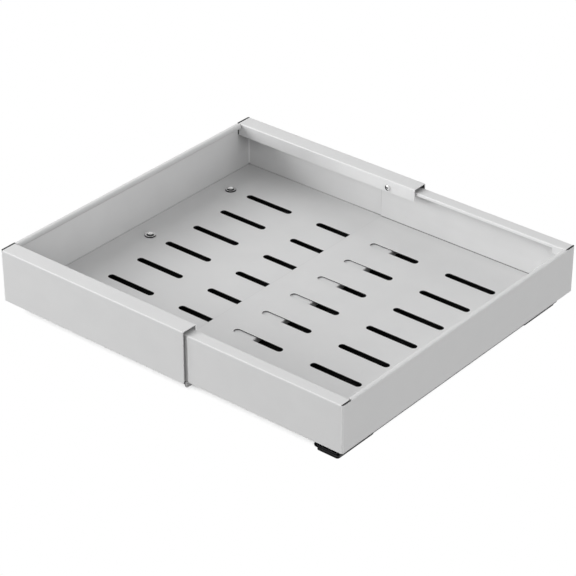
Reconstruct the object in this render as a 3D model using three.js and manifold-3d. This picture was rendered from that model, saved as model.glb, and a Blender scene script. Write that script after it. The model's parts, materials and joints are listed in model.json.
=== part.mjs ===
// Pull-out cabinet organizer: a sheet-steel tray in two halves that draws out of a cabinet on two flat
// ball-bearing slides. The inner half lies inside the outer one and slides to the right to widen the tray.
// Millimetres, +X to the right, +Y to the back, +Z up. The origin is on the cabinet floor, under the middle
// of the organizer as it stands pushed in and drawn out to its full width.

import * as THREE from "three";
import { mergeVertices } from "three/addons/utils/BufferGeometryUtils.js";
import Module from "manifold-3d";

const wasm = await Module();
wasm.setup();

// Tray sizes
const fullWidth = 490;
const trayDepth = 432;
const outerWidth = 275.5;
const innerWidth = 276.5;
const wallHeight = 66.75;
const sheet = 1;
const bendRadius = 0.4; // inside radius of the folds along the top and the walls' feet
const cornerBend = 1.5; // inside radius of the upright corners

// Play between the two halves
const floorGap = 0.5;
const sideGap = 2.5;
const topGap = 4;

// Rails along the front and back walls
const outerRail = 21.5;
const outerLip = 16.25;
const railGap = 1.75; // inner rail's edge to the outer rail's lip
const innerLip = 4;
const tabDrop = 11; // height of the lip's deeper ends
const tabLength = 21; // from the tray's ends

// Rolled top edge of the end walls
const hemWidth = 7;
const hemRoll = 3; // radius of its inner side, at the middle of the sheet
const hemCurl = 55; // degrees that it turns in under itself, past level
const hemRelief = 0.75; // hem's end to the rail's lip

// Stiffening flange under the outer floor's open edge
const edgeDrop = 7.25;
const edgeRelief = 3.5; // flange's end to the wall
const edgeRound = 4; // flange's lower corners
const notch = 1.5;

// Drain slots
const slotLength = 69.5;
const slotWidth = 8.75;
const slotRows = 7;
const rowPitch = 49.75;
const slotColumns = 2;
const columnPitch = 110;
const outerSlotInset = 54.5; // end wall to the first slot
const innerSlotInset = 63.75;

// Ball-bearing slides
const slideWidth = 35;
const slideLength = 400;
const leftInset = 28.5; // end wall to the slide's centre
const rightInset = 25;
const leftSetback = 17; // front wall to the slide's front end
const rightSetback = 10;
const travel = 390;
const memberSheet = 1;
const cageSheet = 0.5;
const ballRadius = 1.5;
const ballsPerRow = 7;
const raceGap = 0.25;
const runGap = 0.3;
const trayClearance = 0.75; // middle member's top to the tray's underside
const cageEnd = 4; // ball cage to the end of the members' overlap, drawn right out
const raceTilt = 110; // degrees, lower ball row to the upper one, seen from the front
const lipWrap = 55; // degrees between the cabinet member's lip and the middle member's race
const wallSlope = 60; // degrees, middle member's wall where it leaves the web
const upperWrap = 60; // degrees, how far the middle member closes over the upper balls
const drawerWrap = 30; // degrees above and below the upper balls' level that the drawer member closes over
const fixingHole = 5;
const fixingInset = 30; // cabinet member's end to its fixing hole
const windowLength = 60;
const windowWidth = 8;

// Pads, bumpers and screws
const padHeight = 1.5;
const padLength = 62;
const padWidth = 29;
const padCorner = 3;
const bumperLength = 8;
const plugDiameter = 6;
const screwEnd = 52.5; // slide's end to its first and last floor screw
const flangeDiameter = 14; // the floor screws' washer face
const headDiameter = 9.5;
const headHeight = 3;
const headRim = 1.4;
const shankDiameter = 5;
const shankReach = 2; // shank's tip below the drawer member's web
const recessWidth = 1.5;
const recessLength = 5.5;
const recessDepth = 1.25;
const stopHead = 7;
const stopHeadHeight = 2.25;
const stopShank = 3;
const stopReach = 3.5; // stop screw's tip past the lip
const stopDrop = 10.5; // rail's top to the stop screw
const stopRecess = 3.5;
const holeGap = 0.3; // round a screw's shank
const seat = 0.05; // between faces that bear on each other

// Facets
const bendSteps = 2; // half the facets in a fold
const hemSteps = 4;
const roundSides = 14;
const domeSteps = 3;
const ballSides = 8;
const ballRings = 5;

// Sizes that follow
const overlap = outerWidth + innerWidth - fullWidth;
const innerDepth = trayDepth - 2 * (sheet + sideGap);
const innerRise = sheet + floorGap;
const innerHeight = wallHeight - sheet - topGap - innerRise;
const innerRail = outerRail - sheet - railGap - (sheet + sideGap);
const railStart = sheet + cornerBend; // the rails run from the end of the corners' bends
const raceRadius = ballRadius + raceGap + memberSheet / 2; // to the middle of the member's sheet
const raceMiddle = memberSheet / 2 + raceRadius;
const lowerBall = new THREE.Vector2(slideWidth / 2 - raceMiddle, raceMiddle);
const upperBall = aim(raceTilt).multiplyScalar(2 * raceRadius).add(lowerBall);
const slideHeight = upperBall.y + raceRadius + memberSheet / 2 + trayClearance;
const lowerCageLevel = memberSheet + runGap + cageSheet / 2;
const middleLevel = lowerCageLevel + cageSheet / 2 + runGap + memberSheet / 2;
const upperCageLevel = middleLevel + memberSheet / 2 + runGap + cageSheet / 2;
const drawerLevel = slideHeight - memberSheet / 2;
const memberLength = slideLength - bumperLength - runGap;
const cageLength = memberLength - travel / 2 - 2 * cageEnd;
const cageStart = travel / 4 + cageEnd;
const outerFloor = padHeight + slideHeight + 2 * seat; // height of the outer tray's underside
const rightPadHeight = padHeight + innerRise;
const shankHole = shankDiameter + 2 * holeGap;
const screwPitch = slideLength / 2 - screwEnd;
const screwPlaces = [-screwPitch, 0, screwPitch].map((y) => trayDepth / 2 + y);
const stopPlace = outerWidth - overlap + tabLength + holeGap + stopShank / 2;

// A unit step at an angle in degrees.
function aim(angle) {
  const turn = THREE.MathUtils.degToRad(angle);
  return new THREE.Vector2(Math.cos(turn), Math.sin(turn));
}

// A closed mesh as a solid that can be joined and cut.
function solid(geometry) {
  const loose = geometry.index ? geometry.toNonIndexed() : geometry;
  const bare = new THREE.BufferGeometry().setAttribute("position", loose.getAttribute("position"));
  const merged = mergeVertices(bare, 1e-4);
  const corners = merged.index.array;
  const kept = [];
  for (let i = 0; i < corners.length; i += 3) {
    const [a, b, c] = corners.subarray(i, i + 3);
    if (a !== b && b !== c && c !== a) kept.push(a, b, c);
  }
  const vertProperties = merged.getAttribute("position").array;
  return new wasm.Manifold(new wasm.Mesh({ numProp: 3, vertProperties, triVerts: new Uint32Array(kept) }));
}

// A solid as a named mesh in its own finish.
function piece(name, body, finish) {
  const { vertProperties, triVerts } = body.getMesh();
  const geometry = new THREE.BufferGeometry();
  geometry.setAttribute("position", new THREE.BufferAttribute(vertProperties, 3));
  geometry.setIndex(new THREE.BufferAttribute(triVerts, 1));
  geometry.computeVertexNormals();
  const mesh = new THREE.Mesh(geometry, new THREE.MeshStandardMaterial(finish));
  mesh.name = name;
  return mesh;
}

// A shape drawn in two axes, drawn out along the third: Y and Z along X, X and Z along Y, X and Y along Z.
function extrude(shape, length) {
  return new THREE.ExtrudeGeometry(shape, { depth: length, bevelEnabled: false, curveSegments: bendSteps });
}

const unitX = new THREE.Vector3(1, 0, 0);
const unitY = new THREE.Vector3(0, 1, 0);
const unitZ = new THREE.Vector3(0, 0, 1);

function alongX(shape, from, to) {
  const turned = new THREE.Matrix4().makeBasis(unitY, unitZ, unitX);
  return solid(extrude(shape, to - from).applyMatrix4(turned).translate(from, 0, 0));
}

function alongY(shape, from, to) {
  const turned = new THREE.Matrix4().makeBasis(unitX, unitZ, unitY.clone().negate());
  return solid(extrude(shape, to - from).applyMatrix4(turned).translate(0, to, 0));
}

function alongZ(shape, from, to) {
  return solid(extrude(shape, to - from).translate(0, 0, from));
}

function block(x0, x1, y0, y1, z0, z1) {
  const box = new THREE.BoxGeometry(x1 - x0, y1 - y0, z1 - z0);
  return solid(box.translate((x0 + x1) / 2, (y0 + y1) / 2, (z0 + z1) / 2));
}

// A round bar standing on Z, from one height to another.
function bar(diameter, x, y, from, to) {
  const round = new THREE.CylinderGeometry(diameter / 2, diameter / 2, to - from, roundSides);
  return solid(round.rotateX(Math.PI / 2).translate(x, y, (from + to) / 2));
}

// The same along Y.
function crossBar(diameter, x, z, from, to) {
  const round = new THREE.CylinderGeometry(diameter / 2, diameter / 2, to - from, roundSides);
  return solid(round.translate(x, (from + to) / 2, z));
}

// A rectangle whose corners are rounded in turn: low left, low right, high right, high left.
function plate(x0, x1, y0, y1, [lowLeft, lowRight, highRight, highLeft]) {
  const quarter = Math.PI / 2;
  const shape = new THREE.Shape();
  shape.absarc(x0 + lowLeft, y0 + lowLeft, lowLeft, 2 * quarter, 3 * quarter);
  shape.absarc(x1 - lowRight, y0 + lowRight, lowRight, 3 * quarter, 4 * quarter);
  shape.absarc(x1 - highRight, y1 - highRight, highRight, 0, quarter);
  shape.absarc(x0 + highLeft, y1 - highLeft, highLeft, quarter, 2 * quarter);
  return shape;
}

// A line through corners, each one rounded to a radius at the middle of the sheet.
function foldLine(corners, radius) {
  const points = corners.map(([x, y]) => new THREE.Vector2(x, y));
  const line = new THREE.Path();
  line.moveTo(points[0].x, points[0].y);
  points.slice(1, -1).forEach((corner, i) => {
    const back = points[i].clone().sub(corner).normalize();
    const onward = points[i + 2].clone().sub(corner).normalize();
    const half = Math.acos(back.dot(onward)) / 2;
    const middle = back.clone().add(onward).normalize().multiplyScalar(radius / Math.sin(half)).add(corner);
    const start = back.clone().multiplyScalar(radius / Math.tan(half)).add(corner).sub(middle);
    const end = onward.clone().multiplyScalar(radius / Math.tan(half)).add(corner).sub(middle);
    line.lineTo(middle.x + start.x, middle.y + start.y);
    line.absarc(middle.x, middle.y, radius, start.angle(), end.angle(), back.cross(onward) > 0);
  });
  const last = points.at(-1);
  line.lineTo(last.x, last.y);
  return line;
}

// The outline of sheet folded along a line: half the thickness to either side, mitred where the line turns.
function foldedSheet(line, thickness, steps = bendSteps) {
  const points = line.getPoints(steps);
  const last = points.length - 1;
  const square = (a, b) => new THREE.Vector2(a.y - b.y, b.x - a.x).normalize();
  const left = [];
  const right = [];
  points.forEach((point, i) => {
    const before = square(points[Math.max(i - 1, 0)], points[Math.max(i, 1)]);
    const after = square(points[Math.min(i, last - 1)], points[Math.min(i + 1, last)]);
    const step = before.clone().add(after).multiplyScalar(thickness / 2 / (1 + before.dot(after)));
    left.push(point.clone().add(step));
    right.unshift(point.clone().sub(step));
  });
  return new THREE.Shape([...left, ...right]);
}

// One half of the tray, with its end wall at X = 0 and its open edge at X = width. Walls and floor are the
// tray's outer form less the same form one sheet smaller, so each fold keeps the sheet's thickness.
function traySolid({ width, depth, height, rail, lip, slotInset, slideInset }) {
  const form = (skin, past) => {
    const corner = cornerBend + sheet - skin;
    const foot = bendRadius + sheet - skin;
    const plan = plate(skin, width + past, skin, depth - skin, [corner, 0, 0, corner]);
    const side = plate(skin, depth - skin, skin, height + past, [foot, foot, 0, 0]);
    const front = plate(skin, width + past, skin, height + past, [foot, 0, 0, 0]);
    return alongZ(plan, skin, height + past)
      .intersect(alongX(side, skin, width + past))
      .intersect(alongY(front, skin, depth - skin));
  };
  let tray = form(0, 0).subtract(form(sheet, sheet));

  // The rails and the hem carry on from the walls. Only the corners stand to the full height.
  const half = sheet / 2;
  const top = height - half;
  const foldRadius = bendRadius + half;
  const railFoot = height - bendRadius - sheet;
  const hemStart = rail + hemRelief;
  tray = tray
    .subtract(block(railStart, width + sheet, -sheet, depth + sheet, railFoot, height + sheet))
    .subtract(block(-sheet, railStart, hemStart, depth - hemStart, railFoot, height + sheet));

  const railCorners = [
    [half, railFoot - lip],
    [half, top],
    [rail - half, top],
    [rail - half, height - lip],
  ];
  const frontRail = foldedSheet(foldLine(railCorners, foldRadius), sheet);
  const backCorners = railCorners.map(([y, z]) => [depth - y, z]);
  const backRail = foldedSheet(foldLine(backCorners, foldRadius), sheet);
  tray = tray.add(alongX(frontRail, railStart, width)).add(alongX(backRail, railStart, width));

  const rollStart = hemWidth - half - hemRoll;
  const hemCorners = [
    [half, railFoot - hemWidth],
    [half, top],
    [rollStart, top],
  ];
  const hem = foldLine(hemCorners, foldRadius);
  hem.absarc(rollStart, top - hemRoll, hemRoll, Math.PI / 2, -THREE.MathUtils.degToRad(hemCurl), true);
  tray = tray.add(alongY(foldedSheet(hem, sheet, hemSteps), hemStart, depth - hemStart));

  for (let column = 0; column < slotColumns; column += 1) {
    for (let row = 0; row < slotRows; row += 1) {
      const x = slotInset + column * columnPitch;
      const y = depth / 2 + (row - (slotRows - 1) / 2) * rowPitch;
      const round = slotWidth / 2;
      const slot = plate(x, x + slotLength, y - round, y + round, [round, round, round, round]);
      tray = tray.subtract(alongZ(slot, -sheet, 2 * sheet));
    }
  }
  screwPlaces.forEach((place) => {
    const y = place - (trayDepth - depth) / 2;
    tray = tray.subtract(bar(shankHole, slideInset, y, -sheet, 2 * sheet));
  });
  return tray;
}

const trayFinish = { color: 0xd2d3d3, roughness: 0.48, metalness: 0.05 };

// Left half: a flange folded down under the floor's open edge, and a hole in each rail for a stop screw.
function outerTray() {
  const half = sheet / 2;
  const fold = bendRadius + sheet;
  let tray = traySolid({
    width: outerWidth,
    depth: trayDepth,
    height: wallHeight,
    rail: outerRail,
    lip: outerLip,
    slotInset: outerSlotInset,
    slideInset: leftInset,
  });
  const flangeLine = foldLine(
    [
      [outerWidth - 2 * fold, half],
      [outerWidth - half, half],
      [outerWidth - half, sheet - edgeDrop],
    ],
    bendRadius + half,
  );
  const back = trayDepth - edgeRelief;
  const outline = plate(edgeRelief, back, sheet - edgeDrop, 2 * sheet, [edgeRound, edgeRound, 0, 0]);
  const flange = alongY(foldedSheet(flangeLine, sheet), 0, trayDepth).intersect(
    alongX(outline, 0, outerWidth + sheet),
  );
  const from = edgeRelief - notch;
  const cutBack = block(outerWidth - fold, outerWidth + sheet, from, trayDepth - from, -sheet, 2 * sheet);
  tray = tray.subtract(cutBack).add(flange);
  [outerRail - sheet / 2, trayDepth - outerRail + sheet / 2].forEach((y) => {
    const hole = crossBar(stopShank + 2 * holeGap, stopPlace, wallHeight - stopDrop, y - sheet, y + sheet);
    tray = tray.subtract(hole);
  });
  const mesh = piece("outer_tray", tray, trayFinish);
  mesh.position.set(0, 0, outerFloor);
  return mesh;
}

// Right half: the lip is cut back between its two deeper ends. The tray is turned end for end.
function innerTray() {
  const tray = traySolid({
    width: innerWidth,
    depth: innerDepth,
    height: innerHeight,
    rail: innerRail,
    lip: tabDrop,
    slotInset: innerSlotInset,
    slideInset: rightInset,
  });
  const [from, to] = [tabLength, innerWidth - tabLength];
  const [low, high] = [innerHeight - 2 * tabDrop, innerHeight - innerLip];
  const gap = plate(from, to, low, high, [0, 0, bendRadius, bendRadius]);
  const inside = innerRail - sheet - notch;
  const cut = alongY(gap, inside, innerRail + sheet).add(
    alongY(gap, innerDepth - innerRail - sheet, innerDepth - inside),
  );
  const mesh = piece("inner_tray", tray.subtract(cut), trayFinish);
  mesh.position.set(fullWidth, trayDepth - sheet - sideGap, outerFloor + innerRise);
  mesh.rotation.z = Math.PI;
  return mesh;
}

// A round-headed screw along Z, its flange's seat at Z = 0, with a cross recess in the head.
function screwSolid({ flange, head, height, shank, length, recess }) {
  const profile = [new THREE.Vector2(0, -length), new THREE.Vector2(shank / 2, -length)];
  profile.push(new THREE.Vector2(shank / 2, 0), new THREE.Vector2(flange / 2, 0));
  profile.push(new THREE.Vector2(flange / 2, headRim));
  for (let step = 0; step <= domeSteps; step += 1) {
    const turn = aim((90 * step) / domeSteps);
    profile.push(new THREE.Vector2((turn.x * head) / 2, headRim + turn.y * (height - headRim)));
  }
  profile.at(-1).x = 0;
  const body = solid(new THREE.LatheGeometry(profile, roundSides).rotateX(Math.PI / 2));
  const arm = recess / 2;
  const half = recessWidth / 2;
  const foot = height - recessDepth;
  return body
    .subtract(block(-arm, arm, -half, half, foot, height + headRim))
    .subtract(block(-half, half, -arm, arm, foot, height + headRim));
}

const screwFinish = { color: 0xc9cacb, roughness: 0.35, metalness: 0.6 };

function floorScrews(side, x, floorTop) {
  const screw = {
    flange: flangeDiameter,
    head: headDiameter,
    height: headHeight,
    shank: shankDiameter,
    length: sheet + seat + memberSheet + shankReach,
    recess: recessLength,
  };
  return ["front", "middle", "rear"].map((place, i) => {
    const body = screwSolid(screw);
    const mesh = piece(`${side}_floor_screw_${place}`, body, screwFinish);
    mesh.position.set(x, screwPlaces[i], floorTop + seat);
    return mesh;
  });
}

// The screws that stop the inner half at full width, one through each of the outer rails' lips.
function stopScrews() {
  const screw = {
    flange: stopHead,
    head: stopHead,
    height: stopHeadHeight,
    shank: stopShank,
    length: sheet + stopReach,
    recess: stopRecess,
  };
  return ["front", "rear"].map((place) => {
    const body = screwSolid(screw);
    const mesh = piece(`${place}_stop_screw`, body, screwFinish);
    const inward = place === "front" ? 1 : -1;
    const lipFace = place === "front" ? outerRail : trayDepth - outerRail;
    mesh.rotation.x = (-inward * Math.PI) / 2;
    mesh.position.set(stopPlace, lipFace + inward * seat, outerFloor + wallHeight - stopDrop);
    return mesh;
  });
}

// A member or cage of a slide: its line from the web's middle outwards, mirrored to the other side.
function slideSection(line, thickness) {
  const right = line.getPoints(bendSteps);
  const left = right.slice(1).reverse().map((point) => new THREE.Vector2(-point.x, point.y));
  const whole = new THREE.Path([...left, ...right]);
  return foldedSheet(whole, thickness);
}

function slideLine(level) {
  const line = new THREE.Path();
  line.moveTo(0, level);
  return line;
}

function arcRound(line, ball, from, to, clockwise) {
  const radians = THREE.MathUtils.degToRad;
  const start = aim(from).multiplyScalar(raceRadius).add(ball);
  line.lineTo(start.x, start.y);
  line.absarc(ball.x, ball.y, raceRadius, radians(from), radians(to), clockwise);
  return line;
}

// Cabinet member: flat web, walls closing round the lower balls from outside.
function cabinetMember() {
  const line = arcRound(slideLine(memberSheet / 2), lowerBall, -90, raceTilt - lipWrap, false);
  let member = alongY(slideSection(line, memberSheet), 0, slideLength);
  [fixingInset, slideLength / 2, slideLength - fixingInset].forEach((y) => {
    member = member.subtract(bar(fixingHole, 0, y, -memberSheet, 2 * memberSheet));
  });
  const plugPlace = slideLength - bumperLength / 2;
  return member.subtract(bar(plugDiameter, 0, plugPlace, -memberSheet, 2 * memberSheet));
}

// Middle member: its walls run inside the lower balls, then outside the upper ones.
function middleMember() {
  const leave = aim(90 + wallSlope).multiplyScalar(raceRadius).add(lowerBall);
  const rise = (leave.y - middleLevel) / Math.tan(THREE.MathUtils.degToRad(wallSlope));
  const line = foldLine(
    [
      [0, middleLevel],
      [leave.x - rise, middleLevel],
      [leave.x, leave.y],
    ],
    memberSheet,
  );
  arcRound(line, lowerBall, 90 + wallSlope, raceTilt, true);
  arcRound(line, upperBall, raceTilt - 180, upperWrap, false);
  let member = alongY(slideSection(line, memberSheet), 0, memberLength);
  const round = windowWidth / 2;
  [1, 3].forEach((share) => {
    const from = (memberLength * share) / 4 - windowLength / 2;
    const opening = plate(-round, round, from, from + windowLength, Array(4).fill(round));
    member = member.subtract(alongZ(opening, middleLevel - memberSheet, middleLevel + memberSheet));
  });
  return member;
}

// Drawer member: turned over, its walls inside the upper balls and its web screwed up under the tray.
function drawerMember(setback) {
  const turn = 180 - drawerWrap;
  const leave = aim(turn).multiplyScalar(raceRadius).add(upperBall);
  const rise = (drawerLevel - leave.y) / Math.tan(THREE.MathUtils.degToRad(90 - drawerWrap));
  const line = foldLine(
    [
      [0, drawerLevel],
      [leave.x + rise, drawerLevel],
      [leave.x, leave.y],
    ],
    memberSheet / 2 + runGap,
  );
  arcRound(line, upperBall, turn, 180 + drawerWrap, false);
  let member = alongY(slideSection(line, memberSheet), 0, memberLength);
  screwPlaces.forEach((y) => {
    const hole = bar(shankHole, 0, y - setback, drawerLevel - memberSheet, slideHeight + memberSheet);
    member = member.subtract(hole);
  });
  return member;
}

// Ball cages: a flat web whose edges carry a row of balls on each side.
function cage(line, ball) {
  let body = alongY(slideSection(line, cageSheet), 0, cageLength);
  const ballPitch = cageLength / ballsPerRow;
  for (let i = 0; i < ballsPerRow; i += 1) {
    [-ball.x, ball.x].forEach((x) => {
      const sphere = new THREE.SphereGeometry(ballRadius, ballSides, ballRings).rotateX(Math.PI / 2);
      body = body.add(solid(sphere.translate(x, (i + 0.5) * ballPitch, ball.y)));
    });
  }
  return body;
}

function lowerCage() {
  const line = slideLine(lowerCageLevel);
  line.lineTo(lowerBall.x - ballRadius, lowerCageLevel);
  line.lineTo(lowerBall.x, lowerBall.y);
  return cage(line, lowerBall);
}

function upperCage() {
  const foot = lowerBall.x - raceRadius - memberSheet / 2 - 2 * runGap - cageSheet / 2;
  const under = aim(240).multiplyScalar(ballRadius).add(upperBall);
  const line = slideLine(upperCageLevel);
  line.lineTo(foot, upperCageLevel);
  line.lineTo(under.x, under.y);
  line.lineTo(upperBall.x, upperBall.y);
  return cage(line, upperBall);
}

// Soft stop at the cabinet member's rear end, plugged into its web.
function bumper() {
  const half = lowerBall.x - raceRadius - memberSheet;
  const y = slideLength - bumperLength;
  const round = padCorner / 2;
  const outline = plate(-half, half, y, slideLength, [round, round, round, round]);
  const stop = alongZ(outline, memberSheet + seat, drawerLevel);
  return stop.add(bar(plugDiameter - 2 * holeGap, 0, y + bumperLength / 2, seat, 2 * memberSheet));
}

function pad(height, from) {
  const half = padWidth / 2;
  return alongZ(plate(-half, half, from, from + padLength, Array(4).fill(padCorner)), 0, height);
}

const slideFinish = { color: 0x1c1d1f, roughness: 0.4, metalness: 0.5 };
const cageFinish = { color: 0x8f9295, roughness: 0.3, metalness: 0.8 };
const rubberFinish = { color: 0x121212, roughness: 0.85, metalness: 0 };

// One slide, lying flat on its pads. Its origin is at the middle of the front end, on the cabinet floor.
function slide(side, setback, lift) {
  const group = new THREE.Group();
  const place = (name, body, finish, y, z) => {
    const mesh = piece(`${side}_${name}`, body, finish);
    mesh.position.set(0, y, z);
    group.add(mesh);
  };
  const base = lift + seat;
  place("cabinet_member", cabinetMember(), slideFinish, 0, base);
  place("lower_ball_cage", lowerCage(), cageFinish, cageStart, base);
  place("middle_member", middleMember(), slideFinish, 0, base);
  place("upper_ball_cage", upperCage(), cageFinish, cageStart, base);
  place("drawer_member", drawerMember(setback), slideFinish, 0, base);
  place("rear_bumper", bumper(), rubberFinish, 0, base);
  place("front_pad", pad(lift, 0), rubberFinish, 0, 0);
  place("rear_pad", pad(lift, slideLength - padLength), rubberFinish, 0, 0);
  return group;
}

const organizer = new THREE.Group();
const leftSlide = slide("left", leftSetback, padHeight);
const rightSlide = slide("right", rightSetback, rightPadHeight);
leftSlide.position.set(leftInset, leftSetback, 0);
rightSlide.position.set(fullWidth - rightInset, rightSetback, 0);
organizer.add(outerTray(), innerTray(), leftSlide, rightSlide);
organizer.add(...floorScrews("left", leftInset, outerFloor + sheet));
organizer.add(...floorScrews("right", fullWidth - rightInset, outerFloor + innerRise + sheet));
organizer.add(...stopScrews());
organizer.children.forEach((child) => {
  child.position.x -= fullWidth / 2;
  child.position.y -= trayDepth / 2;
});

export default organizer;
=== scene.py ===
import json
import math

import bmesh
import bpy
import numpy as np
from mathutils import Matrix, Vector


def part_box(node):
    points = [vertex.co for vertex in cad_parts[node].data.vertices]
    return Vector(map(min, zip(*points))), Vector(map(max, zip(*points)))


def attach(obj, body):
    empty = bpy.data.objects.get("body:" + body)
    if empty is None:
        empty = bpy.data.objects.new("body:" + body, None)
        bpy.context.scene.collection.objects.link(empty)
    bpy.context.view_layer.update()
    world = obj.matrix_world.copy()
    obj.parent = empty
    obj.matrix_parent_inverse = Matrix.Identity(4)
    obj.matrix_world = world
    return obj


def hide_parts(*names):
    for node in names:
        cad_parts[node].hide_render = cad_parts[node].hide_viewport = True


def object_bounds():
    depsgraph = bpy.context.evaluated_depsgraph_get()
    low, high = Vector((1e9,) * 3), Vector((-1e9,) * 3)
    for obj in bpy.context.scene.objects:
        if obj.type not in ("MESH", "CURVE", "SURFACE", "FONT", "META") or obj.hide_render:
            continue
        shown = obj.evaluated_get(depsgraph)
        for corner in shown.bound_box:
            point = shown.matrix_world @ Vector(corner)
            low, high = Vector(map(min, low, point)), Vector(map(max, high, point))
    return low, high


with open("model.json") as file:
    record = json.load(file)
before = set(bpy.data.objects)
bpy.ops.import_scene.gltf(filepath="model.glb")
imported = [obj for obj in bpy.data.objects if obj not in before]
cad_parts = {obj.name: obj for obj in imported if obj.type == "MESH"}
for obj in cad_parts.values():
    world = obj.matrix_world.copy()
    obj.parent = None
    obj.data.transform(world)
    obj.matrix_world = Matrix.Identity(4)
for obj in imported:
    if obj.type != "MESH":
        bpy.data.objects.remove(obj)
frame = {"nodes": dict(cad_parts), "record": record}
cadBox = [[float(value) for value in corner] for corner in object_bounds()]
mm = 0.001  # the pieces below are worked out in millimetres
bodyOfNode = {node: body for body, nodes in frame["record"]["behaviour"]["bodies"].items() for node in nodes}
slotOfNode = {part["node"]: part["material_slot"] for part in frame["record"]["subparts"]}
print("frame loaded,", len(frame["nodes"]), "nodes")


# one socket of a shader tree; operators on it add the Math node they stand for
class Wire:
    def __init__(self, tree, socket=None):
        self.tree, self.socket = tree, socket

    # any node: its type, its settings, then its sockets by name (spaces as underscores) or as i0, i1, i2
    def node(self, kind, settings=None, **sockets):
        made = self.tree.nodes.new(kind)
        for name, value in (settings or {}).items():
            setattr(made, name, value)
        for name, value in sockets.items():
            key = int(name[1:]) if name[1:].isdigit() else name.replace("_", " ")
            if isinstance(value, Wire):
                self.tree.links.new(value.socket, made.inputs[key])
            else:
                made.inputs[key].default_value = value
        return made

    def out(self, made, key=0):
        return Wire(self.tree, made.outputs[key])

    def maths(self, operation, first, second):
        return self.out(self.node("ShaderNodeMath", {"operation": operation}, i0=first, i1=second))

    def __add__(self, other):
        return self.maths("ADD", self, other)

    def __radd__(self, other):
        return self.maths("ADD", other, self)

    def __sub__(self, other):
        return self.maths("SUBTRACT", self, other)

    def __rsub__(self, other):
        return self.maths("SUBTRACT", other, self)

    def __mul__(self, other):
        return self.maths("MULTIPLY", self, other)

    def __rmul__(self, other):
        return self.maths("MULTIPLY", other, self)

    # smooth step from 0 at low to 1 at high
    def between(self, low, high):
        step = {"interpolation_type": "SMOOTHSTEP"}
        return self.out(self.node("ShaderNodeMapRange", step, Value=self, From_Min=low, From_Max=high))

    # one colour where this value is 0, the other where it is 1
    def blend(self, low, high):
        return self.out(self.node("ShaderNodeMix", {"data_type": "RGBA"}, i0=self, i6=low, i7=high), 2)


# stage

cameraSpec = {"azimuth": 39.548, "elevation": 30.985, "distance": 2.59554, "lens": 144.355,
              "target": (0.02525, -0.03378, 0.04745)}
floorSpec = {"half": 6.0, "grey": 0.03, "reach": 0.12, "under": (0.25, 0.5), "beside": (0.03, 0.15),
             "inset": (0.030, 0.018)}
worldSpec = {"ambient": 0.44}
lampSpecs = {
    "keyLamp": {"azimuth": -40.0, "elevation": 15.0, "distance": 5.0, "size": 2.5, "power": 172.0},
    "sideLamp": {"azimuth": -90.0, "elevation": 46.0, "distance": 5.0, "size": 5.0, "power": 109.0},
    "fillLamp": {"azimuth": 85.0, "elevation": 1.5, "distance": 5.0, "size": 2.5, "power": 168.0},
}


# unit vector from the target to a camera or lamp: azimuth from the front towards the right, elevation upwards
def backAxis(azimuth, elevation):
    a, e = math.radians(azimuth), math.radians(elevation)
    return np.array([math.sin(a) * math.cos(e), -math.cos(a) * math.cos(e), math.sin(e)])


def aimAt(thing, target, back, distance):
    side = np.cross([0.0, 0.0, 1.0], back)
    side /= np.linalg.norm(side)
    place = np.eye(4)
    place[:3, 0], place[:3, 1], place[:3, 2] = side, np.cross(back, side), back
    place[:3, 3] = np.asarray(target) + distance * back
    thing.matrix_world = Matrix(place.tolist())
    bpy.context.scene.collection.objects.link(thing)


# 1 for rays of the camera, of a gloss or through glass, 0 for the rays that light the object
def seenRays(wire):
    path = wire.node("ShaderNodeLightPath")
    names = ("Is Camera Ray", "Is Glossy Ray", "Is Transmission Ray")
    camera, glossy, through = (wire.out(path, name) for name in names)
    return (camera + glossy + through).between(0.0, 1.0)


def makeWorld():
    world = bpy.data.worlds.new("softRoom")
    bpy.context.scene.world = world
    world.use_nodes = True
    world.node_tree.nodes.clear()
    wire = Wire(world.node_tree)
    ambient = worldSpec["ambient"]
    level = ambient + seenRays(wire) * (1 - ambient)
    sky = wire.out(wire.node("ShaderNodeBackground", Color=(1, 1, 1, 1), Strength=level))
    wire.node("ShaderNodeOutputWorld", Surface=sky)


# pale where it lies open, with a painted shadow of plain dark grey under the organizer, where ambient occlusion
# is low. Near the organizer's outline at rest the painted shadow fades sooner than further in
def makeFloor():
    half = floorSpec["half"]
    mesh = bpy.data.meshes.new("floor")
    corners = [(-half, -half, 0), (half, -half, 0), (half, half, 0), (-half, half, 0)]
    mesh.from_pydata(corners, [], [(0, 1, 2, 3)])
    floor = bpy.data.objects.new("floor", mesh)
    bpy.context.scene.collection.objects.link(floor)
    material = bpy.data.materials.new("paleFloor")
    material.use_nodes = True
    material.node_tree.nodes.clear()
    wire = Wire(material.node_tree)
    grey = floorSpec["grey"]
    shaded = wire.out(wire.node("ShaderNodeBsdfDiffuse", Color=(grey, grey, grey, 1)))
    pale = wire.out(wire.node("ShaderNodeEmission", Color=(1, 1, 1, 1), Strength=1.0))
    occlusion = wire.node("ShaderNodeAmbientOcclusion", {"samples": 16}, Distance=floorSpec["reach"])
    cover = wire.out(occlusion, "AO")
    place = wire.node("ShaderNodeSeparateXYZ", Vector=wire.out(wire.node("ShaderNodeTexCoord"), "Object"))
    inside = 1.0
    for axis in (0, 1):
        off = wire.out(wire.node("ShaderNodeMath", {"operation": "ABSOLUTE"}, i0=wire.out(place, axis)))
        far, near = (max(-cadBox[0][axis], cadBox[1][axis]) - inset for inset in floorSpec["inset"])
        inside = inside * (1 - off.between(far, near))
    beside, under = cover.between(*floorSpec["beside"]), cover.between(*floorSpec["under"])
    share = seenRays(wire) * (beside + inside * (under - beside))
    surface = wire.out(wire.node("ShaderNodeMixShader", i0=share, i1=shaded, i2=pale))
    wire.node("ShaderNodeOutputMaterial", Surface=surface)
    mesh.materials.append(material)


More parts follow.
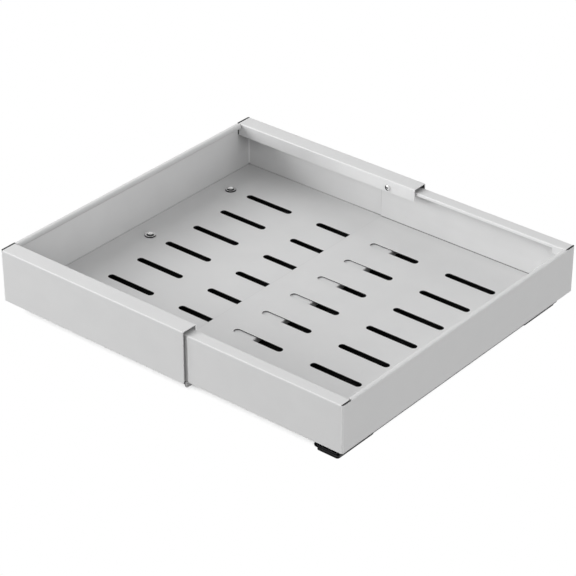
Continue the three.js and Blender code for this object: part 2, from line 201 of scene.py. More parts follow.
def makeStage():
    scene = bpy.context.scene
    scene.view_settings.view_transform = "Standard"
    data = bpy.data.cameras.new("photoCamera")
    data.lens, data.sensor_width, data.clip_end = cameraSpec["lens"], 36.0, 20.0
    camera = bpy.data.objects.new("photoCamera", data)
    aimAt(camera, cameraSpec["target"], backAxis(cameraSpec["azimuth"], cameraSpec["elevation"]),
          cameraSpec["distance"])
    scene.camera = camera
    for name, spec in lampSpecs.items():
        lampData = bpy.data.lights.new(name, "AREA")
        lampData.size, lampData.energy = spec["size"], spec["power"]
        lamp = bpy.data.objects.new(name, lampData)
        aimAt(lamp, (0, 0, 0), backAxis(spec["azimuth"], spec["elevation"]), spec["distance"])
    makeWorld()
    makeFloor()
    print("stage set,", len(lampSpecs), "lamps")


makeStage()


# finishes

def newFinish(name, roughness, metallic=0.0, gloss=0.5):
    material = bpy.data.materials.new(name)
    material.use_nodes = True
    shader = material.node_tree.nodes["Principled BSDF"]
    shader.inputs["Roughness"].default_value = roughness
    shader.inputs["Metallic"].default_value = metallic
    shader.inputs["Specular IOR Level"].default_value = gloss
    wire = Wire(material.node_tree)
    place = wire.out(wire.node("ShaderNodeTexCoord"), "Object")
    return material, shader, wire, place


def feed(wire, value, shader, socket):
    wire.tree.links.new(value.socket, shader.inputs[socket])


def grain(wire, place, scale, detail=2.0):
    return wire.out(wire.node("ShaderNodeTexNoise", Vector=place, Scale=scale, Detail=detail), "Fac")


def bumped(wire, height, distance, strength=1.0):
    return wire.out(wire.node("ShaderNodeBump", Strength=strength, Distance=distance, Height=height))


# how open a spot of one piece is: 0 deep in a crease of the same piece, 1 in the open
def openness(wire, reach, low, high):
    cover = wire.node("ShaderNodeAmbientOcclusion", {"samples": 12, "only_local": True}, Distance=reach)
    return wire.out(cover, "AO").between(low, high)


# a value that the mesh carries at its points
def carried(wire, name):
    return wire.out(wire.node("ShaderNodeAttribute", {"attribute_name": name}), "Fac")


# pale and dull are the coat's own mottle; the other colours are painted shade and painted light
coatSpec = {"pale": (0.728, 0.729, 0.729, 1), "dull": (0.708, 0.709, 0.71, 1), "crease": (0.3, 0.3, 0.305, 1),
            "hollow": (0.03, 0.03, 0.031, 1), "roughness": 0.46, "peel": 850.0, "peelDepth": 0.00002,
            "built": (0.85, 0.85, 0.85, 1), "rubbed": (0.95, 0.95, 0.95, 1),
            "frontFace": (-0.2121, -0.2119), "endFace": (-0.2446, -0.2444),
            "creaseReach": 0.003, "creaseOpen": (0.45, 0.8), "hollowReach": 0.03, "hollowOpen": (0.7, 0.97)}


# powder coat: pale grey with a faint mottle and the fine swell of sprayed paint. Painted shade darkens its
# creases, and a near-black painted shade lies behind the rails, where the mesh carries shade. A second value
# that the mesh carries is a painted highlight above 0 and painted shade below 0. A third is above 0 by the seam,
# a painted light on the outer face of the inner half's front, and below 0 on the left wall, a painted shade on
# its inner face
def powderCoat():
    spec = coatSpec
    material, shader, wire, place = newFinish("powderCoat", spec["roughness"])
    mottle = grain(wire, place, 28.0, 4.0).between(0.3, 0.7)
    layer = carried(wire, "layer")
    built = layer.between(0.0, 1.0).blend(mottle.blend(spec["dull"], spec["pale"]), spec["built"])
    face, axes = carried(wire, "face"), wire.node("ShaderNodeSeparateXYZ", Vector=place)
    before = 1 - wire.out(axes, "Y").between(*spec["frontFace"])
    rubbed = (wire.maths("MAXIMUM", face, 0.0) * before).blend(built, spec["rubbed"])
    inside = wire.out(axes, "X").between(*spec["endFace"])
    paintedEndShade = (wire.maths("MAXIMUM", 0 - face, 0.0) * inside).blend(rubbed, spec["crease"])
    coat = (0 - layer).between(0.0, 1.0).blend(paintedEndShade, spec["crease"])
    paintedCreaseShade = openness(wire, spec["creaseReach"], *spec["creaseOpen"]).blend(spec["crease"], coat)
    hidden = carried(wire, "shade") * (1 - openness(wire, spec["hollowReach"], *spec["hollowOpen"]))
    feed(wire, hidden.blend(paintedCreaseShade, spec["hollow"]), shader, "Base Color")
    feed(wire, spec["roughness"] - 0.06 + mottle * 0.1, shader, "Roughness")
    feed(wire, bumped(wire, grain(wire, place, spec["peel"]), spec["peelDepth"], 0.35), shader, "Normal")
    return material


# the two dark edge colours are painted shade; pale is the edges' own coat
edgeSpec = {"thin": (0.05, 0.05, 0.052, 1), "covered": (0.11, 0.11, 0.112, 1), "pale": (0.74, 0.74, 0.741, 1),
            "floorTop": (0.0155, 0.017), "roughness": 0.6}


# cut edges of the sheet: painted shade, dark grey with a faint mottle, round the slots and where the mesh
# carries shade, at the rails' ends by the corners, and pale on the other edges above the floor
def cutEdge():
    spec = edgeSpec
    material, shader, wire, place = newFinish("cutEdge", spec["roughness"], 0.0, 0.2)
    worn = grain(wire, place, 240.0, 3.0).between(0.35, 0.65)
    height = wire.out(wire.node("ShaderNodeSeparateXYZ", Vector=place), "Z")
    dark = worn.blend(spec["covered"], spec["thin"])
    full = height.between(*spec["floorTop"]) * (1 - carried(wire, "shade"))
    feed(wire, full.blend(dark, spec["pale"]), shader, "Base Color")
    feed(wire, spec["roughness"] + worn * 0.1, shader, "Roughness")
    return material


blackSpec = {"coat": (0.011, 0.011, 0.012, 1), "worn": (0.03, 0.03, 0.032, 1), "roughness": 0.38}


# black dip coat of the slide members: rubbed a little lighter in streaks along the run
def blackCoat():
    spec = blackSpec
    material, shader, wire, place = newFinish("blackCoat", spec["roughness"], 0.25, 0.15)
    stretched = wire.out(wire.node("ShaderNodeMapping", Vector=place, Scale=(1.0, 0.06, 1.0)))
    streaks = grain(wire, stretched, 420.0, 3.0).between(0.42, 0.75)
    feed(wire, streaks.blend(spec["coat"], spec["worn"]), shader, "Base Color")
    feed(wire, spec["roughness"] - streaks * 0.1, shader, "Roughness")
    feed(wire, bumped(wire, grain(wire, place, 1100.0), 0.00001, 0.3), shader, "Normal")
    return material


zincSpec = {"bright": (0.62, 0.63, 0.64, 1), "dull": (0.40, 0.41, 0.43, 1), "roughness": 0.28}


# bright zinc of the ball cages, drawn along the run
def brightZinc():
    spec = zincSpec
    material, shader, wire, place = newFinish("brightZinc", spec["roughness"], 0.9)
    stretched = wire.out(wire.node("ShaderNodeMapping", Vector=place, Scale=(1.0, 0.04, 1.0)))
    drawn = grain(wire, stretched, 700.0, 3.0).between(0.3, 0.7)
    feed(wire, drawn.blend(spec["dull"], spec["bright"]), shader, "Base Color")
    feed(wire, spec["roughness"] + drawn * 0.12, shader, "Roughness")
    return material


rubberSpec = {"dark": (0.008, 0.008, 0.008, 1), "dusty": (0.022, 0.021, 0.02, 1), "roughness": 0.78}


# soft black rubber with a fine moulded grain
def blackRubber():
    spec = rubberSpec
    material, shader, wire, place = newFinish("blackRubber", spec["roughness"], 0.0, 0.12)
    dust = grain(wire, place, 160.0, 4.0).between(0.45, 0.8)
    feed(wire, dust.blend(spec["dark"], spec["dusty"]), shader, "Base Color")
    feed(wire, spec["roughness"] + dust * 0.1, shader, "Roughness")
    feed(wire, bumped(wire, grain(wire, place, 1600.0), 0.00003, 0.5), shader, "Normal")
    return material


screwFinishSpec = {"bright": (0.93, 0.93, 0.925, 1), "shade": (0.02, 0.02, 0.021, 1), "roughness": 0.12}


# nickel-plated screw: bright, with painted shade where the mesh carries shade: in the recess, and on one side
# round the head's foot and edge and on the flange's edge
def nickel():
    spec = screwFinishSpec
    material, shader, wire, place = newFinish("nickel", spec["roughness"], 0.9)
    shade = carried(wire, "shade")
    feed(wire, shade.blend(spec["bright"], spec["shade"]), shader, "Base Color")
    feed(wire, spec["roughness"] + grain(wire, place, 900.0) * 0.15 + shade * 0.3, shader, "Roughness")
    return material


finishes = {"tray_steel": powderCoat(), "slide_steel": blackCoat(), "cage_steel": brightZinc(),
            "black_rubber": blackRubber(), "screw_steel": nickel()}
edgeFinish = cutEdge()
print("finishes made,", len(finishes))


# surfaces

# evenly spaced points round a centre: centre + radius * (cos, sin) of angles in degrees
def arc(centre, radius, start, end, steps):
    turn = np.radians(np.linspace(start, end, steps + 1))
    return np.asarray(centre) + radius * np.stack([np.cos(turn), np.sin(turn)], -1)


# a profile of (inset, height) carried along stations of (x, y, inward x, inward y):
# place = station + inset * inward, at the profile's height
def carry(stations, profile):
    plan = stations[None, :, :2] + profile[:, None, :1] * stations[None, :, 2:]
    height = np.broadcast_to(profile[:, None, 1:], plan.shape[:2] + (1,))
    return np.concatenate([plan, height], -1)


# a flat sheet on the lines xs and ys with rounded openings, each a radius r about a straight middle line from a
# to b in the middle of a tile of the sheet. The ring round an opening runs from each point p of the tile's edge
# to q + r * (p - q) / |p - q|, where q is the point of the middle line nearest to p.
def pierced(xs, ys, level, openings):
    sheet = np.stack(np.meshgrid(xs, ys, indexing="ij"), -1)
    whole = np.ones((len(xs) - 1, len(ys) - 1), bool)
    rings = []
    for a, b, radius, reach in openings:
        i0, i1 = np.searchsorted(xs, [a[0] - reach - 0.01, b[0] + reach - 0.01])
        j0, j1 = np.searchsorted(ys, [a[1] - reach - 0.01, b[1] + reach - 0.01])
        whole[i0:i1, j0:j1] = False
        edge = np.concatenate([sheet[i0:i1, j0], sheet[i1, j0:j1], sheet[i1:i0:-1, j1], sheet[i0, j1:j0:-1],
                               sheet[i0:i0 + 1, j0]])
        a, b = np.asarray(a, float), np.asarray(b, float)
        span = b - a
        share = np.clip((edge - a) @ span / max(span @ span, 1e-9), 0, 1)
        near = a + share[:, None] * span
        outward = edge - near
        rim = near + radius * outward / np.linalg.norm(outward, axis=1, keepdims=True)
        rings.append(np.stack([edge, rim + 0.2 * (edge - rim), rim]))
    raised = [np.concatenate([grid, np.full(grid.shape[:2] + (1,), level)], -1) for grid in [sheet, *rings]]
    return [(raised[0], whole), *((ring, None) for ring in raised[1:])]


# grids of points become one mesh: each cell of a grid is a face, and points on one place are joined
def weld(grids):
    points, faces, start = [], [], 0
    for grid, kept in grids:
        rows, columns = grid.shape[:2]
        index = start + np.arange(rows * columns).reshape(rows, columns)
        cells = np.stack([index[:-1, :-1], index[1:, :-1], index[1:, 1:], index[:-1, 1:]], -1)
        faces.append(cells[np.ones(cells.shape[:2], bool) if kept is None else kept])
        points.append(grid.reshape(rows * columns, -1))
        start += rows * columns
    points, faces = np.concatenate(points), np.concatenate(faces)
    keys = np.round(points[:, :3] * 1000).astype(np.int64)
    first, joined = np.unique(keys, axis=0, return_index=True, return_inverse=True)[1:]
    faces = joined.reshape(-1)[faces]
    same = faces == np.roll(faces, -1, axis=1)  # a face that closes to a pole keeps three corners
    square = faces[~same.any(1)]
    pole = faces[same.sum(1) == 1]
    three = pole[~same[same.sum(1) == 1]].reshape(-1, 3)
    used = np.zeros(len(first), bool)
    used[square.ravel()] = used[three.ravel()] = True
    renumber = np.cumsum(used) - 1
    return points[first][used], renumber[square].tolist() + renumber[three].tolist()


# a finished piece: mesh in metres, faces turned one way, then the sheet's thickness and softened edges
def makePiece(node, grids, sheet=None, soften=None, part=""):
    points, faces = weld(grids)
    words = (node + part).split("_")
    name = words[0] + "".join(word.capitalize() for word in words[1:])
    mesh = bpy.data.meshes.new(name)
    mesh.from_pydata((points[:, :3] * mm).tolist(), [], faces)
    for label, values in zip(("shade", "layer", "face"), points[:, 3:].T.astype(np.float32)):
        mesh.attributes.new(label, "FLOAT", "POINT").data.foreach_set("value", values)
    shell = bmesh.new()
    shell.from_mesh(mesh)
    bmesh.ops.recalc_face_normals(shell, faces=shell.faces)
    shell.to_mesh(mesh)
    shell.free()
    mesh.polygons.foreach_set("use_smooth", np.ones(len(mesh.polygons), bool))
    slotName = slotOfNode[node]
    mesh.materials.append(finishes[slotName])
    piece = bpy.data.objects.new(name, mesh)
    bpy.context.scene.collection.objects.link(piece)
    if sheet:
        wall = piece.modifiers.new("sheet", "SOLIDIFY")
        wall.thickness, wall.offset, wall.use_even_offset = sheet * mm, 0.0, True
        if slotName == "tray_steel":
            mesh.materials.append(edgeFinish)
            wall.material_offset_rim = 1
    if soften:
        edge = piece.modifiers.new("softEdge", "BEVEL")
        edge.width, edge.segments, edge.limit_method = soften * mm, 2, "ANGLE"
        edge.angle_limit = math.radians(50)
    even = piece.modifiers.new("evenShade", "WEIGHTED_NORMAL")
    even.keep_sharp = False
    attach(piece, bodyOfNode[node])
    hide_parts(node)
    return piece


# trays

traySpec = {"sheet": 1.0, "bend": 0.4, "corner": 1.5, "soften": 0.16,
            "hem": {"width": 7.0, "roll": 3.0, "curl": 55.0, "relief": 0.75},
            "slot": {"length": 69.5, "width": 8.75, "rows": 7, "rowPitch": 49.75, "columns": 2, "pitch": 110.0}}
# the last keys of each tray, from footShade on, are ramps of painted shade and painted light for the coat
outerTraySpec = {"node": "outer_tray", "turn": 1, "lift": 12.0786, "width": 275.5, "depth": 432.0,
                 "height": 66.75, "rail": 21.5, "lip": 16.25, "tab": None, "slotInset": 54.5,
                 "flange": {"drop": 7.25, "round": 4.0}, "footShade": ((90.0, 230.0), (0.0, 0.8)),
                 "endShade": 0.1, "openEdge": (0.0, 0.0), "seam": ((0, 1), (0.0, 0.0)),
                 "endTone": ((150, 400), (0.13, 0.33)), "lipLayer": ((0, 110, 210), (-0.25, -0.4, 0.0)),
                 "backLayer": ((110, 190), (0.0, 0.6))}
innerTraySpec = {"node": "inner_tray", "turn": -1, "lift": 13.5786, "width": 276.5, "depth": 425.0,
                 "height": 60.25, "rail": 15.25, "lip": 4.0, "tab": {"drop": 11.0, "length": 21.0},
                 "slotInset": 63.75, "flange": None, "footShade": ((0.0, 30.0), (1.0, 1.0)),
                 "endShade": -1.0, "openEdge": (0.3, 0.5),
                 "seam": ((209.5, 211.0, 214.5, 215.5), (0.0, 1.0, 1.0, 0.0)), "endTone": ((0, 1), (0.0, 0.0)),
                 "lipLayer": ((0, 1), (0.0, 0.0)), "backLayer": ((0, 1), (0.65, 0.65))}


# lines of the floor: even tiles round each drain slot, and the places where rails, hem and flange begin
def floorLines(spec):
    slot, sheet, width, depth = traySpec["slot"], traySpec["sheet"], spec["width"], spec["depth"]
    start = sheet + traySpec["corner"]
    radius = slot["width"] / 2
    reach = radius + 8.0
    firsts = spec["slotInset"] + slot["pitch"] * np.arange(slot["columns"]) + radius
    lasts = firsts + slot["length"] - slot["width"]
    middles = depth / 2 + slot["rowPitch"] * (np.arange(slot["rows"]) - (slot["rows"] - 1) / 2)
    ends = np.array([-reach, -0.6 * reach, -0.3 * reach, 0.0])
    xs = [[start, width]]
    for first, last in zip(firsts, lasts):
        xs += [first + ends, np.linspace(first, last, 5), last - ends]
    sides = [start, *(spec["rail"] + np.array([-sheet - 0.3, -0.7, 0.1, traySpec["hem"]["relief"]]))]
    if spec["flange"]:
        sides += list(arc((start + spec["flange"]["round"], 0), spec["flange"]["round"], 180, 90, 5)[:, 0])
        xs += [[width - traySpec["bend"] - sheet]]
    if spec["tab"]:
        xs += [[spec["tab"]["length"], width - spec["tab"]["length"], width - 1.5], spec["seam"][0]]
    ys = [sides, depth - np.array(sides), *(middle + np.linspace(-reach, reach, 9) for middle in middles)]
    openings = [((first, middle), (last, middle), radius, reach)
                for first, last in zip(firsts, lasts) for middle in middles]
    tidy = lambda lines: np.unique(np.round(np.concatenate(lines), 4))
    return tidy(xs), tidy(ys), openings


# what the coat reads at the points of a tray's sheet, all of it painted light and shade. Painted shade is 1
# between the walls and the lips, above the lips' lower edge, fades below it, and grows along the feet of the
# front and back walls towards the open edge. The second value is a painted highlight, (start - x) * (start - y)
# / (corner / 2)^2, at most 1, on the upright corners, grows as painted light on the floor towards the back wall,
# and falls as painted shade over the hem's roll, on the lips and at the open edge. The third is painted light in
# a short ramp up and down by the seam, less painted shade in a ramp along the end wall.
def coatValues(spec, grid):
    x, y, z = (grid[..., axis] for axis in range(3))
    sheet, hem, rail = traySpec["sheet"], traySpec["hem"], spec["rail"]
    half, start = sheet / 2, sheet + traySpec["corner"]
    bend, corner = traySpec["bend"] + half, traySpec["corner"] + half
    width, depth, height = spec["width"], spec["depth"], spec["height"]
    fromWall = np.minimum(y, depth - y)
    fromBack = depth - y if spec["turn"] > 0 else y

    # painted shade behind the lips, fading below them, and in the folds at the feet of the front and back walls
    lipFoot = height - (spec["tab"]["drop"] if spec["tab"] else spec["lip"])
    hidden = np.interp(z, [lipFoot - 30, lipFoot - 0.1, lipFoot + 0.1], [0.0, 0.4, 1.0])
    reach = rail + np.where(x < sheet, spec["endShade"], -sheet)
    hidden *= (fromWall < reach + 0.01) & (x < width - 0.01)
    inFold = (z < half + bend - 0.01) & (fromWall < half + bend - 0.01)
    shade = np.maximum(hidden, inFold * np.interp(x, *spec["footShade"]))

    # painted highlight on the upright corners, painted shade on the hem's roll, the lips and the open edge,
    # painted light on the floor by the back wall
    layer = np.clip(start - x, 0, None) * np.clip(start - fromWall, 0, None) / (corner / 2) ** 2
    layer = np.minimum(layer, 1.0)
    onHem = (z > height - hem["width"]) & (fromWall > rail + hem["relief"] - 0.01) & (x < hem["width"])
    rollEnd = hem["width"] - half
    layer -= 0.5 * onHem * np.interp(x, [rollEnd - hem["roll"], rollEnd], [0.0, 1.0])
    onLip = (np.abs(fromWall - rail + half) < 0.02) & (z > bend)
    layer += onLip * np.interp(x, *spec["lipLayer"])
    toBack = np.interp(fromBack, [20.0, 55.0], [1.0, 0.0]) * (z < half + 0.01)
    layer += toBack * np.interp(x, *spec["backLayer"])
    onFloor, onWall = spec["openEdge"]
    layer -= np.where(z < 2 * sheet, onFloor, onWall) * (x > width - 0.01)

    # painted light on the front's outer face by the seam, painted shade along the end wall's inner face
    onEnd = (x < sheet) & (z > bend)
    face = (y > depth - sheet) * np.interp(x, *spec["seam"]) - onEnd * np.interp(y, *spec["endTone"])
    return np.stack([shade, layer, face], -1)


# one folded sheet at the middle of its thickness, end wall at x = 0 and open edge at x = width. The walls are
# one profile, a strip of floor, an arc up and then straight, carried along the front, round a corner, along the
# end, round the other corner and along the back. Rails and hem go on from the walls' tops.
def traySurface(spec):
    sheet, hem = traySpec["sheet"], traySpec["hem"]
    half = sheet / 2
    bend, corner = traySpec["bend"] + half, traySpec["corner"] + half
    width, depth, height = spec["width"], spec["depth"], spec["height"]
    xs, ys, openings = floorLines(spec)
    front = np.stack([xs, 0 * xs + half, 0 * xs, 0 * xs + 1], -1)
    back = np.stack([xs, 0 * xs + depth - half, 0 * xs, 0 * xs - 1], -1)
    end = np.stack([0 * ys + half, ys, 0 * ys + 1, 0 * ys], -1)
    low, high = (half + corner, half + corner), (half + corner, depth - half - corner)
    lowCorner, highCorner = arc(low, corner, 270, 180, 10), arc(high, corner, 180, 90, 10)
    lowTurn = np.concatenate([lowCorner, (low - lowCorner) / corner], -1)
    highTurn = np.concatenate([highCorner, (high - highCorner) / corner], -1)
    stations = np.concatenate([front[::-1], lowTurn, end, highTurn, back])

    top, roll = height - half, hem["roll"]
    railFoot, rollStart = top - bend, hem["width"] - sheet - roll
    lipFoot = height - (spec["tab"]["drop"] if spec["tab"] else spec["lip"])
    foot = np.concatenate([[[corner, half]], arc((bend, half + bend), bend, 270, 180, 6)])
    levels = np.array([lipFoot - 30, lipFoot - 15, lipFoot - 0.2, lipFoot + 0.2, railFoot])
    rise = np.stack([0 * levels, levels], -1)
    grids = [carry(stations, np.concatenate([foot, rise]))]

    hemStart = spec["rail"] + hem["relief"]
    before, after = end[ys < hemStart + 0.01], end[ys > depth - hemStart - 0.01]
    underHem = end[(ys > hemStart - 0.01) & (ys < depth - hemStart + 0.01)]
    upright = np.array([[0.0, railFoot], [0.0, height]])
    grids += [carry(run, upright) for run in (lowTurn, highTurn, before, after)]
    hemLine = np.concatenate([arc((bend, railFoot), bend, 180, 90, 6),
                              arc((rollStart, top - roll), roll, 90, -hem["curl"], 18)])
    grids += [carry(underHem, hemLine)]

    lipPlace, lipEnd = spec["rail"] - sheet, height - spec["lip"]
    railLine = np.concatenate([arc((bend, railFoot), bend, 180, 90, 6),
                               arc((lipPlace - bend, railFoot), bend, 90, 0, 6),
                               np.stack([np.full(3, lipPlace), np.linspace(railFoot, lipEnd, 3)], -1)])
    for wall in (front, back):
        grids += [carry(wall, railLine)]
        if spec["tab"]:
            tabLine = np.array([[lipPlace, lipEnd], [lipPlace, lipFoot]])
            near, far = xs < spec["tab"]["length"] + 0.01, xs > width - spec["tab"]["length"] - 0.01
            grids += [carry(wall[near], tabLine), carry(wall[far], tabLine)]

    floor = pierced(xs, ys, half, openings)
    if spec["flange"]:
        edge, rounding = width - traySpec["bend"] - sheet, spec["flange"]["round"]
        floor[0][1][-1] = False
        toEnd = np.clip(1 - np.minimum(ys - ys[0], ys[-1] - ys) / rounding, 0, 1)
        bottom = sheet - spec["flange"]["drop"] + rounding * (1 - np.sqrt(1 - toEnd ** 2))
        openEnd = np.stack([0 * ys + edge, ys, 0 * ys + 1, 0 * ys], -1)
        fold = carry(openEnd, arc((0, half - bend), bend, 90, 0, 6))
        drop = np.stack([np.full((4, len(ys)), edge + bend), np.tile(ys, (4, 1)),
                         np.linspace(half - bend, bottom, 4)], -1)
        grids += [np.concatenate([fold, drop])]

    sheets = [*((grid, None) for grid in grids), *floor]
    return [(np.concatenate([grid, coatValues(spec, grid)], -1), kept) for grid, kept in sheets]


# the outer half stands as drawn, the inner half is turned end for end
def makeTrays():
    for spec in (outerTraySpec, innerTraySpec):
        node, turn = spec["node"], spec["turn"]
        (x0, y0, _), (x1, y1, _) = np.asarray(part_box(node)) / mm
        origin = np.array([*((x0, y0) if turn > 0 else (x1, y1)), spec["lift"], 0, 0, 0])
        grids = [(origin + grid * (turn, turn, 1, 1, 1, 1), kept) for grid, kept in traySurface(spec)]
        makePiece(node, grids, traySpec["sheet"], traySpec["soften"])
    print("trays folded")


makeTrays()


# slides

slideSpec = {"length": 400.0, "width": 35.0, "sheet": 1.0, "cageSheet": 0.5, "ball": 1.5, "race": 2.25,
             "tilt": 110.0, "lipWrap": 55.0, "slope": 60.0, "upperWrap": 60.0, "drawerWrap": 30.0,
             "play": 0.3, "clearance": 0.75, "ballsPerRow": 7, "soften": 0.12,
             "fixings": {"radius": 2.5, "inset": 30.0}, "windows": {"radius": 4.0, "length": 60.0}}


def unit(vector):
    return vector / np.linalg.norm(vector)


# straight runs between corners, each corner an arc that touches both runs
def folded(corners, radius, steps=6):
    corners = np.asarray(corners, float)
    runs = [corners[:1]]
    for before, corner, after in zip(corners, corners[1:], corners[2:]):
        back, onward = unit(before - corner), unit(after - corner)
        half = math.acos(back @ onward) / 2
        centre = corner + unit(back + onward) * radius / math.sin(half)
        first = corner + back * radius / math.tan(half) - centre
        last = corner + onward * radius / math.tan(half) - centre
        start = math.degrees(math.atan2(first[1], first[0]))
        sweep = math.degrees(math.atan2(first[0] * last[1] - first[1] * last[0], first @ last))
        runs.append(arc(centre, radius, start, start + sweep, steps))
    return np.concatenate([*runs, corners[-1:]])


# right half of each member's and cage's line across the slide, from the web's edge outwards, as (x, z)
def slideLines():
    spec = slideSpec
    race, sheet, play, cage = spec["race"], spec["sheet"], spec["play"], spec["cageSheet"]
    aim = lambda angle: np.array([math.cos(math.radians(angle)), math.sin(math.radians(angle))])
    lower = np.array([spec["width"] / 2 - sheet / 2 - race, sheet / 2 + race])
    upper = lower + 2 * race * aim(spec["tilt"])
    cageLow = sheet + play + cage / 2
    middle = cageLow + cage / 2 + play + sheet / 2
    cageHigh = middle + sheet / 2 + play + cage / 2
    drawer = upper[1] + race + spec["clearance"]
    leave = lower + race * aim(90 + spec["slope"])
    foot = leave[0] - (leave[1] - middle) / math.tan(math.radians(spec["slope"]))
    turn = 180 - spec["drawerWrap"]
    fall = upper + race * aim(turn)
    head = fall[0] + (drawer - fall[1]) / math.tan(math.radians(90 - spec["drawerWrap"]))
    cabinetLine = arc(lower, race, -90, spec["tilt"] - spec["lipWrap"], 14)
    middleLine = np.concatenate([
        folded([(0, middle), (foot, middle), leave], sheet)[1:-1],
        arc(lower, race, 90 + spec["slope"], spec["tilt"], 5),
        arc(upper, race, spec["tilt"] - 180, spec["upperWrap"], 12)])
    drawerLine = np.concatenate([
        folded([(0, drawer), (head, drawer), fall], sheet / 2 + play)[1:-1],
        arc(upper, race, turn, 180 + spec["drawerWrap"], 6)])
    under = upper + spec["ball"] * aim(240)
    cageFoot = lower[0] - race - sheet / 2 - 2 * play - cage / 2
    lowerCageLine = folded([(0, cageLow), (lower[0] - spec["ball"], cageLow), lower], 0.6, 4)[1:]
    upperCageLine = folded([(0, cageHigh), (cageFoot, cageHigh), under, upper], 0.6, 4)[1:]
    return {"cabinet_member": cabinetLine, "middle_member": middleLine, "drawer_member": drawerLine,
            "lower_ball_cage": lowerCageLine, "upper_ball_cage": upperCageLine}, lower, upper


# a member or cage: flat web with its openings, and the half line carried along Y on each side of it
def channel(line, length, openings):
    edge, level = line[0]
    tiles = [np.linspace(a[1] - reach, b[1] + reach, 13) for a, b, _, reach in openings]
    across = [reach * np.linspace(-1, 1, 9) for *_, reach in openings[:1]]
    plain = np.linspace(0, length, 9)
    for tile in tiles:  # plain lines keep clear of the tiles
        plain = plain[(plain < tile[0] - 0.5) | (plain > tile[-1] + 0.5)]
    ys = np.unique(np.round(np.concatenate([plain, *tiles]), 4))
    xs = np.unique(np.round(np.concatenate([[-edge, 0.0, edge], *across]), 4))
    grids = pierced(xs, ys, level, openings)
    for side in (1, -1):
        wall = np.empty((len(line), len(ys), 3))
        wall[..., 0], wall[..., 1], wall[..., 2] = side * line[:, :1], ys, line[:, 1:]
        wall[0, :, 0] = side * round(edge, 4)
        grids.append((wall, None))
    return grids


# a ball: centre + radius * (cos u * sin v, sin u * sin v, cos v)
def ball(centre, radius, around=14, down=8):
    u, v = np.meshgrid(np.linspace(0, 2 * np.pi, around + 1), np.linspace(0, np.pi, down + 1), indexing="ij")
    return np.asarray(centre) + radius * np.stack([np.cos(u) * np.sin(v), np.sin(u) * np.sin(v), np.cos(v)], -1)


def makeSlides():
    spec = slideSpec
    lines, lower, upper = slideLines()
    for side in ("left", "right"):
        (x0, y0, z0), (x1, _, _) = np.asarray(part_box(side + "_cabinet_member")) / mm
        for name, line in lines.items():
            node = f"{side}_{name}"
            (_, front, _), (_, rear, _) = np.asarray(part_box(node)) / mm
            length = rear - front
            openings = []
            if name == "cabinet_member":
                fixing = spec["fixings"]
                places = (fixing["inset"], length / 2, length - fixing["inset"])
                openings = [((0.0, y), (0.0, y), fixing["radius"], 7.0) for y in places]
            if name == "middle_member":
                window = spec["windows"]
                reach = window["length"] / 2 - window["radius"]
                places = (length / 4, length * 3 / 4)
                openings = [((0.0, y - reach), (0.0, y + reach), window["radius"], 8.0) for y in places]
            origin = np.array([(x0 + x1) / 2, front, z0])
            grids = channel(line, length, openings)
            cage = "cage" in name
            makePiece(node, [(grid + origin, kept) for grid, kept in grids],
                      spec["cageSheet"] if cage else spec["sheet"], None if cage else spec["soften"])
            if cage:
                row = lower if "lower" in name else upper
                pitch = length / spec["ballsPerRow"]
                balls = [(ball((sign * row[0], (i + 0.5) * pitch, row[1]) + origin, spec["ball"]), None)
                         for sign in (-1, 1) for i in range(spec["ballsPerRow"])]
                makePiece(node, balls, part="_balls")
    print("slides drawn")


makeSlides()


# pads and bumpers

padSpec = {"corner": 3.0, "edge": 0.35}
bumperSpec = {"corner": 1.5, "edge": 0.5, "web": 1.0}


# rounded slab: a profile up the side with a small quarter round below and above, carried round the outline,
# and closed to a point in the middle of the bottom and the top
def slab(low, high, corner, edge):
    x0, y0, z0 = low
    x1, y1, z1 = high
    rounds = [((x1 - corner, y0 + corner), 270), ((x1 - corner, y1 - corner), 0),
              ((x0 + corner, y1 - corner), 90), ((x0 + corner, y0 + corner), 180)]
    turns = [np.concatenate([arc(c, corner, a, a + 90, 6), -arc((0, 0), 1.0, a, a + 90, 6)], -1)
             for c, a in rounds]
    stations = np.concatenate([*turns, turns[0][:1]])
    profile = np.concatenate([[[corner * 0.8, z0]], arc((edge, z0 + edge), edge, 270, 180, 4),
                              arc((edge, z1 - edge), edge, 180, 90, 4), [[corner * 0.8, z1]]])
    sides = carry(stations, profile)
    middle = np.array([(x0 + x1) / 2, (y0 + y1) / 2, 0.0])
    foot = np.broadcast_to(middle + (0, 0, z0), sides[:1].shape)
    head = np.broadcast_to(middle + (0, 0, z1), sides[:1].shape)
    return np.concatenate([foot, sides, head])


def makePads():
    for side in ("left", "right"):
        for end in ("front", "rear"):
            node = f"{side}_{end}_pad"
            low, high = np.asarray(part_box(node)) / mm
            makePiece(node, [(slab(low, high, padSpec["corner"], padSpec["edge"]), None)])
        node = side + "_rear_bumper"
        low, high = np.asarray(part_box(node)) / mm
        low[2] += bumperSpec["web"]
        makePiece(node, [(slab(low, high, bumperSpec["corner"], bumperSpec["edge"]), None)])
    print("pads and bumpers made")


makePads()


# screws

# lee, side, ring and crossShade place the painted shade on each head
screwSpecs = {
    "floor": {"flange": 14.0, "head": 9.5, "height": 3.0, "rim": 1.4, "shank": 5.0, "recess": 5.5, "arm": 1.5,
              "depth": 1.25, "lee": 309.5, "side": (-0.3, 0.5), "ring": (0.5, 0.72), "crossShade": 0.1},
    "stop": {"flange": 7.0, "head": 7.0, "height": 2.25, "rim": 1.4, "shank": 2.8, "recess": 3.5, "arm": 1.1,
             "depth": 0.8, "lee": 203.0, "side": (-0.35, -0.05), "ring": (0.3, 0.45), "crossShade": 0.75},
}


def smooth(value, low, high):
    share = np.clip((value - low) / (high - low), 0, 1)
    return share * share * (3 - 2 * share)


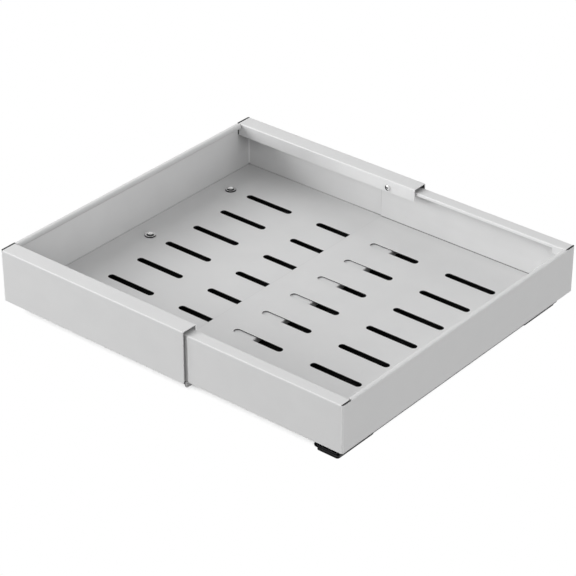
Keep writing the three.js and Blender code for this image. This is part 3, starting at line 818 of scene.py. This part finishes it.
# a screw about Z, seat at z = 0: over radius r and angle u, the head is a dome rim + (height - rim) *
# sqrt(1 - (r / head radius)^2), less a cross of two bars whose sides and floor run off smoothly
def screwGrid(spec, reach, turn=0.0):
    head, flange = spec["head"] / 2, spec["flange"] / 2
    u = np.linspace(0, 2 * np.pi, 65)
    arm = spec["recess"] / 2
    r = np.concatenate([np.linspace(0, arm + 0.4, 26), np.linspace(arm + 0.6, head, 10)])
    dome = spec["rim"] + (spec["height"] - spec["rim"]) * np.sqrt(np.clip(1 - (r / head) ** 2, 0, 1))
    x, y = np.abs(r[:, None] * np.cos(u)), np.abs(r[:, None] * np.sin(u))
    bar = lambda along, across: ((1 - smooth(along, arm - 0.25, arm + 0.2))
                                 * (1 - smooth(across, spec["arm"] / 2 - 0.15, spec["arm"] / 2 + 0.2)))
    cross = np.maximum(bar(x, y), bar(y, x))
    top = dome[:, None] - spec["depth"] * cross
    # painted shade: the cross recess is darkened, and on the side at the angle lee a ring of the head near its
    # edge
    lee = u + turn - math.radians(spec["lee"])
    side = smooth(np.cos(lee), *spec["side"])  # the side in the screw's own shade
    shade = np.maximum(spec["crossShade"] * cross, 0.97 * side * smooth(r / head, *spec["ring"])[:, None])
    edge = 0.25
    # the third column of each row is painted shade, on that same side of the screw only
    rows = [(flange - 0.08, spec["rim"] - 0.08, 1.0), (flange, spec["rim"] - edge, 1.0), (flange, 0.0, 1.0),
            (spec["shank"] / 2, 0.0, 0.6), (spec["shank"] / 2, -reach, 0.3), (0.0, -reach, 0.3)]
    if flange > head + 0.5:
        rows = [(head + 0.2, spec["rim"], 0.8), (head + 0.4, spec["rim"], 0.0),
                (flange - 0.85, spec["rim"], 0.0), (flange - 0.65, spec["rim"], 1.0),
                (flange - edge, spec["rim"], 1.0), *rows]
    below = np.array(rows)
    rest = (len(below), len(u))
    radius = np.concatenate([np.broadcast_to(r[:, None], top.shape), np.broadcast_to(below[:, :1], rest)])
    height = np.concatenate([top, np.broadcast_to(below[:, 1:2], rest)])
    dark = np.concatenate([shade, below[:, 2:] * side])
    return np.stack([radius * np.cos(u), radius * np.sin(u), height, dark], -1)


def makeScrews():
    for side in ("left", "right"):
        for place in ("front", "middle", "rear"):
            node = f"{side}_floor_screw_{place}"
            low, high = np.asarray(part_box(node)) / mm
            spec = screwSpecs["floor"]
            seat = high[2] - spec["height"]
            turn = math.radians({"front": 12, "middle": 50, "rear": 33}[place])
            grid = screwGrid(spec, seat - low[2], turn)
            spun = grid.copy()
            c, s = math.cos(turn), math.sin(turn)
            spun[..., 0] = c * grid[..., 0] - s * grid[..., 1] + (low[0] + high[0]) / 2
            spun[..., 1] = s * grid[..., 0] + c * grid[..., 1] + (low[1] + high[1]) / 2
            spun[..., 2] += seat
            makePiece(node, [(spun, None)])
    for place, inward in (("front", 1), ("rear", -1)):
        node = place + "_stop_screw"
        low, high = np.asarray(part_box(node)) / mm
        spec = screwSpecs["stop"]
        tip, crown = (low[1], high[1]) if inward > 0 else (high[1], low[1])
        grid = screwGrid(spec, abs(crown - tip) - spec["height"])
        laid = grid.copy()
        laid[..., 0] += (low[0] + high[0]) / 2
        laid[..., 1] = crown - inward * (spec["height"] - grid[..., 2])
        laid[..., 2] = (low[2] + high[2]) / 2 + grid[..., 1]
        makePiece(node, [(laid, None)])
    print("screws turned")


makeScrews()
